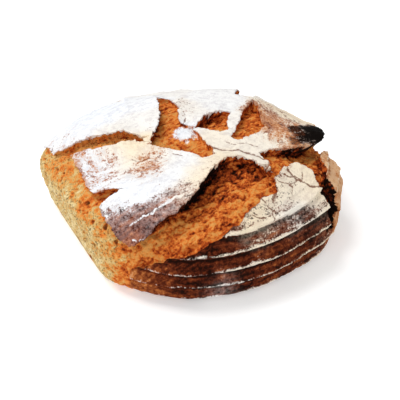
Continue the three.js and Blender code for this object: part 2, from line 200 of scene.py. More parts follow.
# ---- finish, drawn on the same map
# Flour on the crust: [across, along, cover, veil, cream]. Cover is the share of the crust that grains
# of flour hide, veil is an even dusting, and cream is how yellow the flour is.
FLOUR = [
    [-60, 30, 1, 0.8, 0], [-90, 15, 0.85, 0.7, 0], [-40, 20, 1.05, 0.8, 0.3], [-35, 50, 1, 0.8, 0.1],
    [-70, 55, 0.9, 0.7, 0], [-97, 8, 0.5, 0.5, 0.2], [-92, 12, 0.65, 0.6, 0.1], [-50, 10, 1, 0.8, 0.4],
    [-85, -17, 0.2, 0.4, 0.1], [-81, -29, 0.2, 0.4, 0.1], [-77, -41, 0.25, 0.4, 0.1],
    [-72, -50, 0.4, 0.5, 0.1], [-79, -17, 0.64, 0.5, 0], [-75, -28, 0.72, 0.6, 0], [-71, -39, 0.8, 0.6, 0],
    [-70, -18, 0.52, 0.4, 0.2], [-61, -18, 0.4, 0.35, 0.3], [-59, -28, 0.34, 0.35, 0.2],
    [-62, -38, 0.44, 0.4, 0.1], [-68, -48, 0.76, 0.6, 0], [-52, -44, 0.54, 0.4, 0.2],
    [-50, -27, 1.2, 0.9, 0.9], [-54, -15, 1.1, 0.9, 1], [-46, -34, 0.8, 0.7, 0.7], [-42, -14, 1, 0.8, 1],
    [-38, -24, 0.38, 0.25, 0.8], [-33, -32, 0.26, 0.2, 0.8], [-36, -41, 0.3, 0.25, 0.4],
    [-28, -43, 0.42, 0.35, 0.3], [-26, -54, 0.7, 0.5, 0.1], [-24, -28, 0.62, 0.45, 0.5],
    [-16, -36, 0.64, 0.5, 0.3], [-8, -38, 1.1, 0.9, 0.1], [-60, -68, 1.2, 0.9, 0.2],
    [-48, -64, 1.2, 0.9, 0], [-30, -62, 1.2, 0.9, 0], [-12, -52, 1.2, 0.9, 0], [0, -42, 1.15, 0.9, 0.1],
    [14, -30, 1, 0.8, 0.6], [-42, -53, 0.85, 0.6, 0], [-56, -78, 0.24, 0.3, 0.1],
    [-44, -78, 0.28, 0.32, 0.1], [-34, -86, 0.1, 0.18, 0.1], [-20, -80, 0.14, 0.3, 0.1],
    [-52, -90, 0, 0.1, 0.1], [-38, -91, 0.02, 0.1, 0.1], [-22, -70, 0.3, 0.42, 0.1],
    [-8, -70, 0.26, 0.45, 0.6], [-8, -62, 0.6, 0.8, 0.2], [2, -58, 0.6, 0.9, 0.9], [7, -60, 0.5, 0.8, 1],
    [11, -50, 0.6, 0.9, 1], [0, -66, 0.42, 0.7, 0.9], [6, -50, 0.8, 0.9, 0.8], [17, -38, 0.75, 0.9, 1],
    [21, -36, 0.7, 0.9, 1], [0, 30, 0.85, 0.6, 0.3], [-5, 5, 1, 0.8, 0], [20, 48, 0.9, 0.6, 0.2],
    [15, 70, 0.9, 0.6, 0.2], [-6, 34, 0.6, 0.5, 0.5], [28, 12, 1, 0.8, 0.4], [12, 0, 0.9, 0.8, 0.7],
    [20, -10, 1, 0.9, 0.6], [40, -14, 0.95, 0.8, 0.6], [50, -2, 0.85, 0.7, 0.6], [58, 34, 0.36, 0.3, 0.7],
    [57, 14, 0.12, 0.1, 0.6], [56, 24, 0.16, 0.1, 0.6], [70, 45, 0.6, 0.5, 0.9], [95, 34, 0.6, 0.5, 0.9],
    [70, 26, 0.42, 0.4, 0.7], [64, 4, 0.3, 0.3, 0.8], [73, -28, 0.9, 0.8, 0.9], [70, -38, 0.5, 0.5, 0.7],
    [84, -32, 0.95, 0.8, 0.9], [68, -50, 0.6, 0.6, 0.8], [84, -48, 0.86, 0.8, 0.7], [90, -44, 0.98, 0.9, 1],
    [64, -58, 0.74, 0.6, 0.9], [52, -74, 0.76, 0.7, 1], [44, -84, 0.46, 0.4, 1], [58, -64, 0.6, 0.6, 1],
    [66, -70, 0.4, 0.3, 0.4], [78, -66, 0.36, 0.3, 0.4], [92, -62, 0.12, 0, 0.5], [100, -52, 0.16, 0, 0.8],
    [28, -102, 0.1, 0, 0.8], [54, -88, 0.2, 0.05, 0.8], [72, -84, 0.16, 0, 0.8], [98, -72, 0.08, 0, 0.9],
    [106, -60, 0.26, 0.1, 1], [0, -122, -0.04, 0, 0.6], [-35, -126, -0.1, 0, 0.5], [40, -116, 0.06, 0, 0.8],
    [66, -104, 0.1, 0, 0.8], [92, -86, 0.08, 0, 0.9], [110, -74, 0.14, 0, 0.9], [60, -124, 0.1, 0, 0.7],
    [20, -132, 0, 0, 0.5], [35, -140, 0.18, 0.2, 0.3], [48, -136, 0.02, 0, 0.5], [-20, -145, -0.1, 0, 0.4],
    [60, -145, 0, 0, 0.6], [90, -110, 0.08, 0, 0.8], [104, -14, 0.2, 0.2, 1], [112, -9, 0, 0.2, 1],
    [120, -20, -0.05, 0.15, 1], [132, -26, -0.1, 0.1, 1], [136, -40, 0, 0.1, 1], [150, 0, 0.3, 0.1, 0.8],
    [145, -56, 0.2, 0, 0.8], [128, 30, 0.5, 0.3, 0.8], [0, 100, 0.8, 0.5, 0.3], [60, 80, 0.75, 0.5, 0.5],
    [-60, 90, 0.8, 0.5, 0.3], [-20, 80, 0.85, 0.5, 0.3], [0, 130, 0.36, 0.15, 0.5],
    [70, 116, 0.36, 0.15, 0.5], [-70, 116, 0.36, 0.15, 0.5], [150, 50, 0.2, 0, 0.6],
    [115, 75, 0.4, 0.2, 0.6], [0, 155, 0.2, 0, 0.5], [105, 110, 0.2, 0, 0.5], [-90, 125, 0.2, 0, 0.5],
]
FLOUR_SPREAD = 7.5
FLOUR_CONTRAST = 1.7

# Colour of the torn crumb: [across, along, tone], from 0 (pale) through 0.5 (orange) to 1 (burnt).
# The darkest spots, along high lips and in the deep crevice on the right, are partly darker crumb and partly
# painted shade.
CRUMB = [
    [-120, 30, 0.16], [-130, 0, 0.12], [-140, -40, 0.12], [-112, -40, 0.14], [-110, -75, 0.14],
    [-95, -110, 0.16], [-150, 60, 0.18], [-84, -150, 0.4], [-72, -138, 0.56], [-66, -126, 0.54],
    [-104, 2, 0.3], [-97, -14, 0.42], [-92, -20, 0.46], [-86, -36, 0.4], [-92, -50, 0.26], [-80, -58, 0.44],
    [-74, -74, 0.36], [-66, -92, 0.36], [-72, -104, 0.26], [-60, -108, 0.44], [-104, -24, 0.2],
    [-100, -56, 0.16], [-86, -92, 0.16], [-86, -6, 0.28], [-64, -3, 0.24], [-48, 0, 0.24], [-38, -3, 0.28],
    [-66, -60, 0.55], [-54, -60, 0.62], [-26, -4, 0.5], [-20, 10, 0.48], [-18, 30, 0.5], [-20, 50, 0.54],
    [-14, -12, 0.42], [0, -18, 0.38], [10, -26, 0.44], [8, -14, 0.6], [0, 6, 0.56], [8, 16, 0.62],
    [20, 14, 0.52], [22, 28, 0.62], [10, 24, 0.78], [34, -2, 0.52], [40, 16, 0.54], [46, 40, 0.58],
    [44, 26, 0.54], [30, 4, 0.58], [24, -34, 0.8], [34, -32, 0.8], [46, -36, 0.74], [54, -44, 0.56],
    [34, -46, 0.64], [18, -52, 0.74], [10, -62, 0.74], [24, -66, 0.61], [44, -58, 0.55], [52, -54, 0.52],
    [2, -76, 0.66], [16, -82, 0.52], [30, -76, 0.52], [40, -72, 0.58], [-10, -90, 0.48], [4, -100, 0.56],
    [-8, -108, 0.58], [-26, -98, 0.46], [-24, -110, 0.54], [-40, -106, 0.46], [-54, -106, 0.42],
    [-48, -116, 0.54], [57, -16, 0.75], [63, -13, 0.75], [62, -20, 0.5], [76, -12, 0.44], [90, -6, 0.46],
    [100, 12, 0.56], [66, -24, 0.5], [88, -20, 0.54], [100, -30, 1], [108, -40, 1.1], [120, -46, 1.1],
    [95, -18, 0.85], [114, -52, 1], [104, -36, 1.1], [100, 25, 0.6], [115, 32, 0.55], [128, 20, 0.6],
    [39, 72, 0.7], [44, 90, 0.56], [42, 112, 0.58], [-30, 92, 0.54], [-6, 106, 0.56],
]
CRUMB_SPREAD = 8

# Colour of the bare crust: [across, along, tone], from 0 (dark) through 1 (amber) to 1.3 (peach).
BARE = [
    [-60, -128, 0.75], [-50, -140, 0.7], [-30, -140, 0.5], [0, -135, 0.25], [0, -120, 0.12],
    [30, -120, 0.15], [40, -135, 0.25], [60, -110, 0.3], [80, -90, 0.35], [100, -60, 0.2], [66, -74, 0.5],
    [40, -95, 0.35], [-50, -80, 0.55], [-34, -86, 0.45], [-48, -94, 0.4], [-14, -74, 0.6], [-30, -45, 0.95],
    [-70, -30, 0.9], [56, 16, 1], [60, 28, 0.8], [0, 60, 0.7], [0, 130, 0.35], [-90, 120, 0.4],
    [110, 90, 0.35], [112, -10, 1.3], [122, -22, 1.25], [132, -34, 1.15], [142, -12, 0.9], [152, -30, 0.4],
    [140, -72, 0.35], [156, 10, 0.4], [142, 34, 0.5], [122, 40, 0.5], [110, -100, 0.35],
]
BARE_SPREAD = 14

# Burnt places: [across, along, radius, strength].
# The weak one at [60, -10], at a plate's edge over the right tear, is painted shade in char colours.
BURNS = [
    [86, 8, 9, 1], [84, 16, 9, 1], [79, 4, 8, 0.75], [71, -1, 6, 0.55], [75, 15, 8, 0.66],
    [60, -10, 3, 0.4], [88, 26, 6, 0.7],
]
# Cracks in the crust: a width and the points it runs through.
CRACKS = [
    (1.2, [[12, -14], [17, -18], [23, -21], [30, -20], [38, -20], [45, -23], [50, -26]]),
    (0.8, [[-2, 8], [2, 1], [5, -7], [8, -14], [13, -22]]),
    (0.7, [[24, -8], [30, -12], [38, -9], [46, -12]]),
    (1.0, [[67, -28], [69, -33], [74, -38], [80, -38], [85, -40], [91, -38]]),
    (0.8, [[70, -46], [73, -42], [75, -39], [79, -35], [78, -30]]),
    (0.8, [[60, -42], [64, -45], [69, -44], [73, -47], [72, -52]]),
    (0.7, [[66, -36], [70, -38], [73, -35], [77, -37]]),
    (0.6, [[-44, -27], [-38, -31], [-33, -29], [-29, -28]]),
    (0.6, [[-14, -25], [-10, -27], [-5, -30]]),
    (0.6, [[-33, 4], [-30, 8], [-27, 7]]),
    (0.6, [[-10, 42], [-6, 34], [-4, 24], [-6, 15]]),
    (0.6, [[52, 6], [56, 12], [53, 18], [58, 24]]),
    (0.6, [[60, 20], [66, 26], [72, 24]]),
    (0.8, [[52, -66], [58, -70], [62, -78]]),
    (0.7, [[44, -78], [50, -80], [58, -76], [62, -68]]),
    (1.6, [[60, -50], [61, -57], [60, -64]]),
]
# Holes in the crust: [across, along, radius].
HOLES = [[72, -45, 1.7], [75, -43, 1.0], [68, -40, 0.8], [-99, -60, 1.6]]
# Steps where one sheet of crust lies over another: rise, width, and the upper edge's points, with the
# higher side on the right hand.
FOLDS = [
    (2.8, 16, [[-46, 34], [-50, 44], [-53, 60], [-55, 78], [-58, 96]]),
    (1.5, 9, [[58, -72], [70, -64], [82, -54], [91, -44]]),
]

# White lines on the side of the big front plate: points with half their width.
PLATE_LINES = [
    [[-50, -87, 0.3], [-44, -86, 0.6], [-36, -83, 0.8], [-28, -80, 0.8], [-20, -76, 0.8], [-12, -71, 0.7],
     [-2, -66, 0.3]],
    [[-45, -95, 0.3], [-40, -96, 0.8], [-34, -95, 0.9], [-29, -92, 0.5]],
]

# Rims that rubbed bare in the basket: points with half the rim's width.
RUBBED = [
    [[-87, -14, 1.6], [-84, -26, 2.2], [-79, -40, 2.2], [-75, -52, 1.8]],
    [[-62, -72, 1.0], [-58, -82, 1.8], [-54, -92, 2.5], [-49, -99, 2.5]],
]

# ---- colours, as seen, 0 to 255
BARE_RAMP = [
    (0.0, (30, 9, 3)), (0.15, (66, 23, 9)), (0.35, (104, 45, 21)), (0.54, (148, 78, 38)),
    (0.73, (188, 114, 58)), (1.0, (222, 174, 130)),
]
BARE_RAMP_SCALE = 0.77  # the ramp's end is tone 1.3
CRUMB_RAMP = [
    (0.0, (234, 214, 164)), (0.16, (216, 186, 126)), (0.3, (214, 164, 94)), (0.43, (224, 138, 62)),
    (0.56, (206, 106, 42)), (0.68, (168, 73, 28)), (0.8, (116, 44, 17)), (0.92, (60, 21, 9)),
    (1.0, (20, 8, 4)),
]
PALEST_TEAR = 0.36  # tone of the palest crumb in a tear, away from the torn-apart side
FLOUR_WHITE = (242, 245, 249)
FLOUR_CREAM = (243, 226, 196)
SMUDGED_WHITE = (200, 200, 210)
SMUDGED_CREAM = (212, 190, 164)
CRACK_BROWN = (108, 54, 30)
BRAN_BROWN = (96, 66, 36)
# Painted shade inside the pores of the kissing side.
PORE_SHADE = (112, 70, 34)
CHAR_BROWN = (88, 42, 18)
CHAR_BLACK = (13, 7, 5)
ASH_GREY = (150, 134, 124)
ROUGHNESS = 0.9
SHINE = 0.06

# Noises: size, layers of detail, and how strong the finer layers are.
COARSE = (7, 3, 0.6)
MEDIUM = (2.8, 3, 0.65)
FINE = (1.3, 2, 0.7)
RIND = (3.5, 3, 0.6)
STREAKS = (4.5, 3, 0.6)
STRANDS = (4.8, 4, 0.6, 0.5)  # the last number bends them
FLECKS = (2.4, 3, 0.65)
BRAN = (2.6, 2, 0.7)
BUMP_STRENGTH = 0.8
BUMP_DEPTH = 2.0

# ---- studio and camera, in metres
# Lights: place, size and power. All of them point at the same spot.
LIGHTS = {
    "key": ((-0.65, 0.2, 1.75), 0.8, 20.5),
    "fill": ((-0.3, -1.6, 1.2), 1.4, 11.5),
}
LIT_SPOT = (0, 0, 0.04)
FLOOR_SIZE = 60
FLOOR_DROP = 0.0005  # a hair below the loaf
FLOOR_GREY = 0.86
FLOOR_GLOW = 0.33
WHITE = (1, 1, 1, 1)
# The sky is as pale as the floor at the horizon, and a soft grey above this band.
SKY_BAND = 0.45
SKY_AT_HORIZON = 0.8
SKY_ABOVE = 0.42
# The camera, as the photograph was taken.
CAMERA_ELEVATION = 38
CAMERA_DISTANCE = 0.8
CAMERA_LENS = 85
AIM = (0.0085, -0.0098, 0.0266)


# ---- small maths
def smooth_step(value, low, high):
    t = np.clip((value - low) / (high - low), 0, 1)
    return t * t * (3 - 2 * t)


def smooth_min(a, b, width):
    t = np.clip(0.5 + 0.5 * (b - a) / width, 0, 1)
    return b * (1 - t) + a * t - width * t * (1 - t)


def gradient_noise(points, size, seed):
    """Smooth noise between about -1 and 1 at points (n, 3), with features of the given size."""
    rng = np.random.RandomState(seed)
    table = rng.permutation(256)
    directions = rng.normal(size=(256, 3))
    directions /= np.linalg.norm(directions, axis=1, keepdims=True)
    scaled = points / size
    cell = np.floor(scaled).astype(np.int64)
    offset = scaled - cell
    fade = offset**3 * (offset * (offset * 6 - 15) + 10)
    total = np.zeros(len(points))
    for corner in np.ndindex(2, 2, 2):
        at = (cell + corner) & 255
        index = table[(table[(table[at[:, 0]] + at[:, 1]) & 255] + at[:, 2]) & 255]
        weight = np.prod(np.where(corner, fade, 1 - fade), axis=1)
        total += weight * ((offset - corner) * directions[index]).sum(1)
    return total * 1.6


def layered_noise(points, size, seed, layers=3):
    """Noise with finer layers on it, each of half the size and strength of the one before."""
    return sum(gradient_noise(points, size / 2**layer, seed + layer) / 2**layer for layer in range(layers))


def squeezed(points):
    """The points drawn together along the way the crumb was torn, so that noise there runs in strands."""
    way = np.array(TORN_WAY)
    along = points @ way
    return points - (1 - 1 / TORN_STRETCH) * along[:, None] * way


def ragging(points):
    """How far the tears' edges stray from their drawn outline, across and along."""
    return np.stack([
        sum(reach * gradient_noise(points, size, seed + layer) for layer, (reach, size) in enumerate(RAGS))
        for seed in (11, 21)
    ], axis=1)


# ---- the body
def reach_at(bearing):
    """The reach at any bearing, on a smooth curve through the named ones."""
    n = len(REACH)
    place = (bearing / (2 * math.pi)) % 1 * n
    i = np.floor(place).astype(int)
    t = place - i
    a, b, c, d = (np.take(REACH, i + k, mode="wrap").astype(float) for k in (-1, 0, 1, 2))
    return b + 0.5 * t * (c - a + t * (2 * a - 5 * b + 4 * c - d + t * (3 * (b - c) + d - a)))


def rounded_quarter(steps, power):
    """A quarter of a rounded square, from (0, 1) to (1, 0)."""
    angle = np.linspace(0, math.pi / 2, steps)[None, :]
    across, up = np.sin(angle), np.abs(np.cos(angle))
    scale = (across**power + up**power) ** (-1 / power)
    return across * scale, up * scale


class Body:
    """The body's surface and normals, on a fine grid of bearing and share of the way to the foot."""

    BEARINGS = 1080
    SHARES = 331
    DOME_STEPS = 121
    FOOT_STEPS = 49

    def __init__(self):
        bearing = np.linspace(0, 2 * math.pi, self.BEARINGS + 1)[:, None]
        radius, height = self.meridians(bearing)
        length = np.cumsum(np.hypot(np.diff(radius), np.diff(height)), axis=1)
        length = np.hstack([np.zeros((len(bearing), 1)), length])
        length /= length[:, -1:]
        share = np.linspace(0, 1, self.SHARES)
        r = np.array([np.interp(share, a, b) for a, b in zip(length, radius)])
        z = np.array([np.interp(share, a, b) for a, b in zip(length, height)])
        self.points = np.stack([r * np.cos(bearing), r * np.sin(bearing), z], axis=-1)
        around = np.roll(self.points[:-1], -1, 0) - np.roll(self.points[:-1], 1, 0)
        down = np.gradient(self.points, axis=1)
        normal = np.cross(down, np.vstack([around, around[:1]]))
        normal[:, 0] = (0, 0, 1)
        self.normals = normal / np.linalg.norm(normal, axis=-1, keepdims=True)

    def meridians(self, bearing):
        """Radius and height from the crown over the widest level to the foot, one row for each bearing."""
        reach = reach_at(bearing)
        dome_out, dome_up = rounded_quarter(self.DOME_STEPS, DOME_FULLNESS)
        foot_down, foot_out = (part[:, 1:] for part in rounded_quarter(self.FOOT_STEPS, FOOT_ROUNDNESS))
        radius = reach * np.hstack([dome_out, FOOT_SHARE + (1 - FOOT_SHARE) * foot_out])
        dome_height = WIDEST_HEIGHT + (CROWN_HEIGHT - WIDEST_HEIGHT) * dome_up
        foot_height = WIDEST_HEIGHT * (1 - foot_down)
        height = np.hstack([dome_height, foot_height]) + 0 * reach
        facing = np.cos(bearing - math.radians(KISS_BEARING))
        wall = (KISS_REACH + KISS_LEAN * (height - WIDEST_HEIGHT)) / np.maximum(facing, 0.05)
        return np.where(facing > 0.05, smooth_min(radius, wall, KISS_ROUNDING), radius), height

    def at(self, spots, field):
        """Bilinear look-up of points or normals at map positions (n, 2)."""
        bearing = np.arctan2(spots[:, 1], spots[:, 0]) / (2 * math.pi) % 1 * self.BEARINGS
        share = np.clip(np.hypot(*spots.T) / MAP_RADIUS, 0, 1) * (self.SHARES - 1)
        i = np.minimum(bearing.astype(int), self.BEARINGS - 1)
        j = np.minimum(share.astype(int), self.SHARES - 2)
        a, b = (bearing - i)[:, None], (share - j)[:, None]
        low = field[i, j] * (1 - b) + field[i, j + 1] * b
        high = field[i + 1, j] * (1 - b) + field[i + 1, j + 1] * b
        return low * (1 - a) + high * a


# ---- lines and outlines on the map
def away_from(across, along, spots):
    return np.hypot(spots[:, 0] - across, spots[:, 1] - along)


def segments(line, spots):
    """For each spot and each segment of the line: distance, share along it, the way from it, its course."""
    line = np.array(line, float)[:, :2]
    course = np.diff(line, axis=0)
    way = spots[:, None, :] - line[None, :-1]
    share = np.clip((way * course).sum(-1) / (course * course).sum(-1), 0, 1)
    way = way - share[..., None] * course
    return np.linalg.norm(way, axis=-1), share, way, course


def nearest(line, spots):
    """For each spot: distance to the line, how many segments along it, the way from it, and the side."""
    distance, share, way, course = segments(line, spots)
    best = distance.argmin(1)
    rows = np.arange(len(spots))
    way = way[rows, best]
    side = course[best, 0] * way[:, 1] - course[best, 1] * way[:, 0]
    return distance[rows, best], best + share[rows, best], way, side


def value_along(line, place, column):
    """The value that the line's points have in a column, at places counted in segments along it."""
    return np.interp(place, np.arange(len(line)), np.array(line, float)[:, column])


def tapered_distance(line, spots):
    """Distance to a line in half widths of the line, which its third column gives."""
    distance, share = segments(line, spots)[:2]
    half_width = np.array(line, float)[:, 2]
    return (distance / (half_width[:-1] + np.diff(half_width) * share)).min(1)


def ridge_height(line, gentle, steep, spots):
    distance, place, way, side = nearest(line, spots)
    width = np.where(side > 0, gentle, steep)
    return value_along(line, place, 2) * np.exp(-((distance / width) ** 2))


def fold_height(line, rise, width, spots):
    distance, place, way, side = nearest(line, spots)
    along = place / (len(line) - 1)
    taper = smooth_step(np.minimum(along, 1 - along), 0, 0.3)
    return rise * np.exp(-distance / np.where(side < 0, width, FOLD_EDGE)) * taper


def blended(table, spots, spread):
    """Values drawn at scattered spots of the map, spread smoothly between them."""
    table = np.array(table, float)
    far = ((spots[:, None, :] - table[None, :, :2]) ** 2).sum(-1)
    weight = np.exp(-far / (2 * spread**2)) + 1e-6 / (1 + far / 400)
    return (weight @ table[:, 2:]) / weight.sum(1, keepdims=True)


class Tear:
    def __init__(self, corners):
        self.outline = np.array(corners + corners[:1], float)
        samples = []
        for start, end in zip(self.outline, self.outline[1:]):
            count = max(1, round(np.hypot(*(end - start)[:2]) / OUTLINE_STEP))
            samples += [start + (end - start) * k / count for k in range(count)]
        self.samples = np.array(samples)

    def edge(self, spots):
        """Signed distance to the edge (minus inside), the lip there, and the way out of the tear."""
        distance, place, way, side = nearest(self.outline, spots)
        across, along = self.outline[:, 0], self.outline[:, 1]
        x, y = spots[:, :1], spots[:, 1:]
        rise = np.where(np.diff(along) == 0, 1e-9, np.diff(along))
        crosses = (along[:-1] > y) != (along[1:] > y)
        left = x < across[:-1] + np.diff(across) * (y - along[:-1]) / rise
        sign = 1 - 2 * ((crosses & left).sum(1) % 2)
        out = way * (sign / np.maximum(distance, 1e-6))[:, None]
        return sign * distance, value_along(self.outline, place, 3), out

    def floor(self, spots):
        """Depth of the crumb, mostly that of the nearest samples of the outline."""
        far = ((spots[:, None, :] - self.samples[None, :, :2]) ** 2).sum(-1) + 1
        weight = far**-1.5
        return (weight * self.samples[:, 2]).sum(1) / weight.sum(1)


def signed_distance(spots, body, tears):
    ragged = spots + ragging(body.at(spots, body.points))
    return np.min([tear.edge(ragged)[0] for tear in tears], axis=0)


def crowd_to_edges(spots, body, tears):
    """The spots, with those close to a tear's edge drawn right up to it."""
    step = 0.4
    here = signed_distance(spots, body, tears)
    moved = [signed_distance(spots + shift, body, tears) for shift in ((step, 0), (0, step))]
    slope = (np.stack(moved, axis=1) - here[:, None]) / step
    near = np.abs(here)
    stretch = (CROWD_REACH - CROWD_INTO) / (CROWD_REACH - CROWD_FROM)
    pulled_in = near * CROWD_INTO / CROWD_FROM
    wanted = np.where(near < CROWD_FROM, pulled_in, CROWD_INTO + (near - CROWD_FROM) * stretch)
    change = np.where(near < CROWD_REACH, np.sign(here) * (wanted - near), 0)
    steepness = np.maximum((slope**2).sum(1), 0.3)
    shift = np.clip(change / steepness, -CROWD_LIMIT, CROWD_LIMIT)
    fade = smooth_step(MAP_RADIUS - np.hypot(*spots.T), 2, FOOT_FADE)
    return spots + slope * (shift * fade)[:, None]


# ---- the map's fields
class CrustMap:
    """All that is drawn on the crust map, worked out at the given spots."""

    def __init__(self, spots, points, tears):
        self.spots, self.points = spots, points
        self.away = np.hypot(*spots.T)
        rags = ragging(points)
        self.ragged = spots + rags
        signed, lips, ways = (np.stack(part) for part in zip(*[tear.edge(self.ragged) for tear in tears]))
        near = signed.argmin(0)
        rows = np.arange(len(spots))
        self.signed = signed[near, rows]
        self.near_lip = lips[near, rows]
        self.way = ways[near, rows]
        self.lip = (lips * np.exp(-np.maximum(signed, 0) / LIP_WIDTH)).max(0)
        self.floor = self.blend_floors(tears, signed, near)
        self.kissing = smooth_step(-signed[-1], -4, 10)
        self.crack = self.crack_distance(spots + 0.5 * rags)
        self.rings()
        self.torn = self.torn_noise()

    def blend_floors(self, tears, signed, near):
        total = np.zeros(len(self.spots))
        weights = np.zeros(len(self.spots))
        for i, tear in enumerate(tears):
            inside = np.flatnonzero(signed[i] < 2)
            weight = smooth_step(-signed[i][inside], 0, 6) + np.where(near[inside] == i, 1e-3, 0)
            total[inside] += weight * tear.floor(self.ragged[inside])
            weights[inside] += weight
        return total / np.maximum(weights, 1e-9)

    def crack_distance(self, wavy):
        """Distance to the nearest crack or hole, in widths of the crack or radii of the hole."""
        cracks = [nearest(line, wavy)[0] / width for width, line in CRACKS]
        holes = [away_from(across, along, self.ragged) / radius for across, along, radius in HOLES]
        return np.min(cracks + holes, axis=0)

    def rings(self):
        """The share of its pitch that each spot lies across its ring, and where rings show at all."""
        wobble = 1.3 * gradient_noise(self.points, 45, 31) + 0.45 * gradient_noise(self.points, 8, 32)
        turn = (self.away + wobble - RING_FIRST) / RING_PITCH
        self.ring_share = turn - np.floor(turn)
        across, along, radius = UNRINGED
        clear = away_from(across, along, self.spots) / radius
        outer = smooth_step(self.away, RING_FIRST - RING_FADE, RING_FIRST)
        self.ringed = outer * smooth_step(clear, 0.85, 1.15)

    def torn_noise(self):
        strand = squeezed(self.points)
        lumps = gradient_noise(strand, LUMP_SIZE, 51)
        ropes = 1 - 2.4 * np.abs(gradient_noise(strand, ROPE_SIZE, 52))
        shreds = layered_noise(self.points, SHRED_SIZE, 53, layers=2)
        pores = -smooth_step(gradient_noise(self.points * (1.3, 1.3, 0.7), PORE_SIZE, 54), 0.32, 0.62)
        in_tears = 0.55 * lumps + 0.6 * ropes + 0.75 * shreds
        on_side = 1.1 * lumps + 0.9 * shreds + 1.8 * pores
        return in_tears * (1 - self.kissing) + on_side * self.kissing

    def crust_height(self):
        up, down = self.ring_share / RING_CREST, (1 - self.ring_share) / (1 - RING_CREST)
        height = RING_RISE * (2 * np.minimum(up, down) ** 1.3 - 1) * self.ringed
        for line, gentle, steep in RIDGES:
            height += ridge_height(line, gentle, steep, self.spots)
        for rise, width, line in FOLDS:
            height += fold_height(line, rise, width, self.ragged)
        height += self.lip
        height += SWELLINGS[0] * gradient_noise(self.points, *SWELLINGS[1:])
        height += WRINKLES[0] * layered_noise(self.points, *WRINKLES[1:])
        drop, width = THIN_EDGE
        height -= drop * np.exp(-((np.maximum(self.signed, 0) / width) ** 2))
        return height - CRACK_DEPTH * np.exp(-(self.crack**2))

    def crumb_height(self):
        across, along, radius, rise = FLOURED_ISLAND
        island = away_from(across, along, self.spots) / radius
        height = rise * np.exp(-(island**2)) - self.floor
        return height + self.torn * (CRUMB_RELIEF + DEEP_RELIEF * smooth_step(self.floor, 2, 7))

    def offsets(self):
        """How far each spot moves along the body's normal, and over the map towards its tear."""
        on_crust = smooth_step(self.signed, -CROWD_INTO, CROWD_INTO)
        height = self.crumb_height() * (1 - on_crust) + self.crust_height() * on_crust
        fade = smooth_step(MAP_RADIUS - self.away, 0, FOOT_FADE)
        over, over_width = OVERHANG
        under, under_width = UNDERCUT
        lean = -over * np.exp(-np.maximum(self.signed, 0) / over_width) * on_crust
        lean += under * np.exp(np.minimum(self.signed, 0) / under_width) * (1 - on_crust)
        return height * fade, (lean * self.near_lip * fade)[:, None] * self.way


# ---- the mesh
def ring_loop(ring):
    return np.arange(6 * ring) + 1 + 3 * ring * (ring - 1)


def lattice():
    """Map places of the vertices: the crown, then rings of 6, 12, 18 and so on to the foot."""
    spots = [np.zeros((1, 2))]
    for ring in range(1, MAP_RINGS + 1):
        bearing = np.arange(6 * ring) / (6 * ring) * 2 * math.pi
        radius = ring / MAP_RINGS * MAP_RADIUS
        spots.append(radius * np.stack([np.cos(bearing), np.sin(bearing)], axis=1))
    return np.vstack(spots)


def stitch(inner, outer):
    """Triangles between two closed loops, walking both at the same pace."""
    faces = []
    i = o = 0
    n, m = len(inner), len(outer)
    while i < n or o < m:
        a, b = inner[i % n], outer[o % m]
        if i >= n or ((o + 1) * n <= (i + 1) * m and o < m):
            faces.append((a, b, outer[(o + 1) % m]))
            o += 1
        else:
            faces.append((a, b, inner[(i + 1) % n]))
            i += 1
    return faces


def underside(foot, points, first):
    """The flat underside: loops that shrink and thin out towards the middle."""
    loops, vertices, faces = [foot], [], []
    middle = points[foot].mean(0) * (1, 1, 0)
    for share, keep in ((0.97, 2), (0.92, 4), (0.84, 8), (0.7, 12), (0.5, 24), (0.25, 48)):
        picked = foot[::keep]
        ring = middle + (points[picked] - middle) * share
        ring[:, 2] = 0
        loops.append(np.arange(len(ring)) + first + sum(map(len, vertices)))
        vertices.append(ring)
    vertices.append(middle[None])
    centre = first + sum(map(len, vertices)) - 1
    for outer, inner in zip(loops, loops[1:]):
        faces += [(a, c, b) for a, b, c in stitch(inner, outer)]
    last = loops[-1]
    faces += [(centre, last[(k + 1) % len(last)], last[k]) for k in range(len(last))]
    return np.vstack(vertices), faces


def fit_into(points, box):
    """Slides and trims the points, a hair at most, so that they stay inside the solid's box."""
    low, high = (np.array(corner) / MM for corner in box)
    inside = 0.02
    for axis in range(3):
        column = points[:, axis] - points[:, axis].min()
        standing = axis == 2
        start = 0.0 if standing else low[axis] + inside
        room = high[axis] - inside - start
        column *= min(1.0, room / column.max())
        spare = 0.0 if standing else (room - column.max()) / 2
        points[:, axis] = column + start + spare
    return points


def make_mesh(points, faces):
    mesh = bpy.data.meshes.new("emmer_loaf")
    mesh.vertices.add(len(points))
    mesh.vertices.foreach_set("co", (points * MM).astype(np.float32).ravel())
    mesh.loops.add(faces.size)
    mesh.loops.foreach_set("vertex_index", faces.ravel())
    mesh.polygons.add(len(faces))
    mesh.polygons.foreach_set("loop_start", np.arange(len(faces), dtype=np.int32) * 3)
    mesh.polygons.foreach_set("use_smooth", np.ones(len(faces), bool))
    mesh.update(calc_edges=True)
    mesh.validate()
    mesh.set_sharp_from_angle(angle=math.radians(SHARP_ANGLE))
    return mesh


